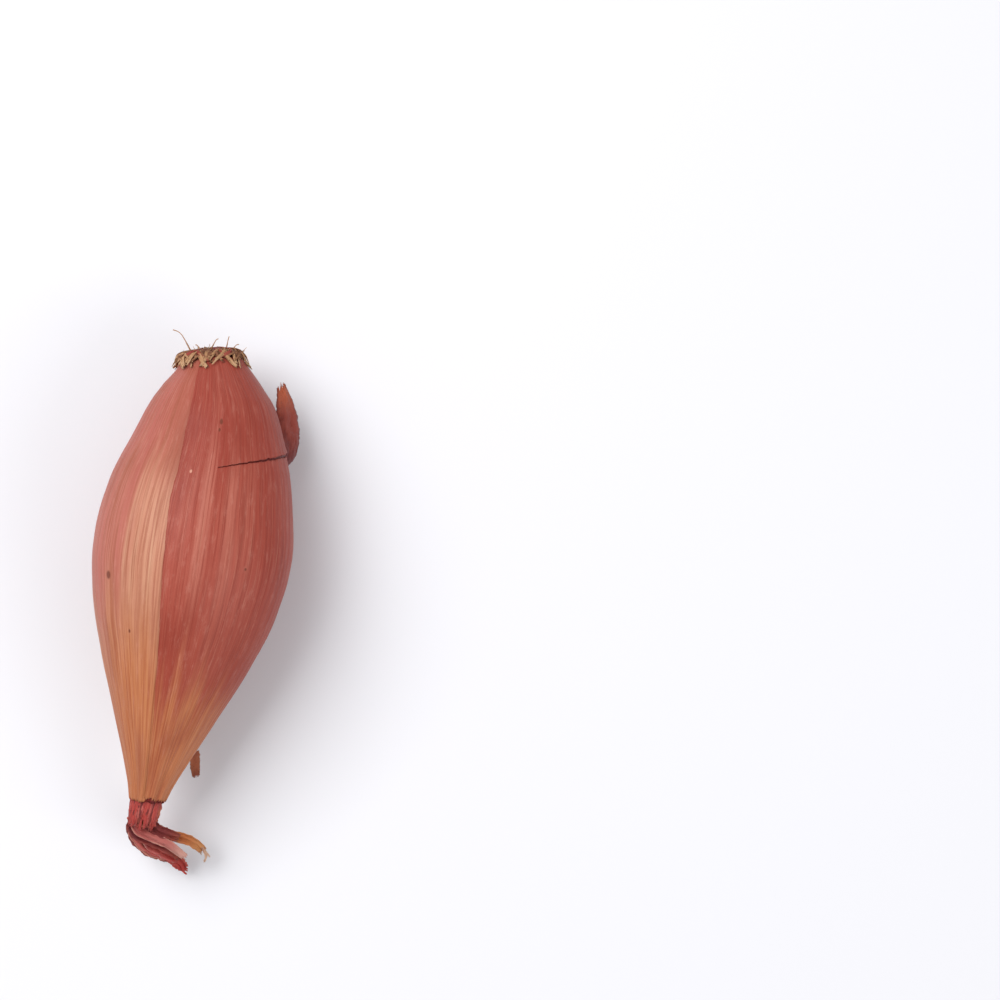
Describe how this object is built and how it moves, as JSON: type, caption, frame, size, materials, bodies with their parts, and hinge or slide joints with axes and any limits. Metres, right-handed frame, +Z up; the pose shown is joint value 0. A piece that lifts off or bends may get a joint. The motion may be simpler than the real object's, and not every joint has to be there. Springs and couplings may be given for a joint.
{
  "type": "banana shallot",
  "caption": "Long, pear-shaped shallot bulb lying on its side, with a matted root end, a dried reddish neck and papery leaf ends.",
  "frame": {"origin": "on the surface it rests on, under the middle of the whole shallot's bounding box", "axes": "+Z up, +Y along the bulb towards its root end, +X towards the side that the dried leaf ends bend to"},
  "size_m": [0.04, 0.11, 0.0368],
  "materials": {
    "skin": "satin",
    "roots": "matte",
    "dried_neck": "matte",
    "dried_leaf": "matte",
    "dried_leaf_orange": "matte",
    "loose_skin": "satin"
  },
  "bodies": {
    "root": {"bulb": "skin", "root_tuft": "roots", "neck_stalk": "dried_neck", "leaf_end_pale": "dried_leaf", "leaf_end_crumpled": "dried_leaf", "leaf_end_orange": "dried_leaf_orange", "skin_flap_side": "loose_skin", "skin_shred_neck": "loose_skin"}
  },
  "joints": []
}
